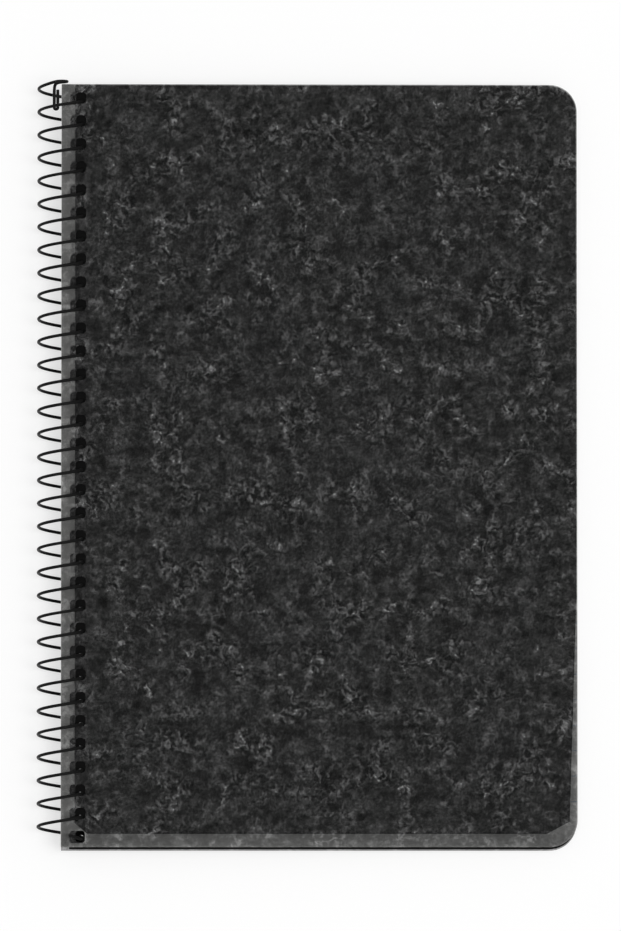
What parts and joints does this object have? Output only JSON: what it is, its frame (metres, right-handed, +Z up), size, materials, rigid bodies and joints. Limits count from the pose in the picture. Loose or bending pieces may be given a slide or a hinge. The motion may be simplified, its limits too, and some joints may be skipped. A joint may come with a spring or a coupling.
{
  "type": "spiral notebook",
  "caption": "Spiral notebook lying on its back: smoky film covers over loose cards, a punched page block and a wound wire, with covers that turn around the wire.",
  "frame": {"origin": "middle of the notebook's outline, on the desk that it lies on, back cover down", "axes": "+X from the coil towards the fore-edge, +Y up the page along the coil, +Z up from the desk"},
  "size_m": [0.1488, 0.212, 0.0133],
  "materials": {
    "wire": "black nylon coat over steel wire, satin",
    "film": "smoky translucent film, satin, printed with a dark stone pattern",
    "card": "black card, matt",
    "paper": "white writing paper, matt"
  },
  "bodies": {
    "block": {"pages": "paper", "coil": "wire"},
    "front_insert": {"front_card": "card"},
    "front_cover": {"front_cover": "film"},
    "back_insert": {"back_card": "card"},
    "back_cover": {"back_cover": "film"}
  },
  "joints": [
    {"name": "front_turn", "type": "hinge", "parent": "block", "child": "front_insert", "pos_m": [-0.06772, 0, 0.00664], "axis": [0, -1, 0], "range_deg": [0, 182.8]},
    {"name": "front_climb", "type": "slide", "parent": "front_insert", "child": "front_cover", "axis": [0, -1, 0], "range_m": [0, 0.00325]},
    {"name": "back_turn", "type": "hinge", "parent": "block", "child": "back_insert", "pos_m": [-0.06772, 0, 0.00664], "axis": [0, 1, 0], "range_deg": [0, 182.8]},
    {"name": "back_climb", "type": "slide", "parent": "back_insert", "child": "back_cover", "axis": [0, 1, 0], "range_m": [0, 0.00325]}
  ],
  "couplings": [
    {"joint": "front_climb", "follows": "front_turn", "m_per_rad": 0.0010106},
    {"joint": "back_climb", "follows": "back_turn", "m_per_rad": 0.0010106}
  ]
}
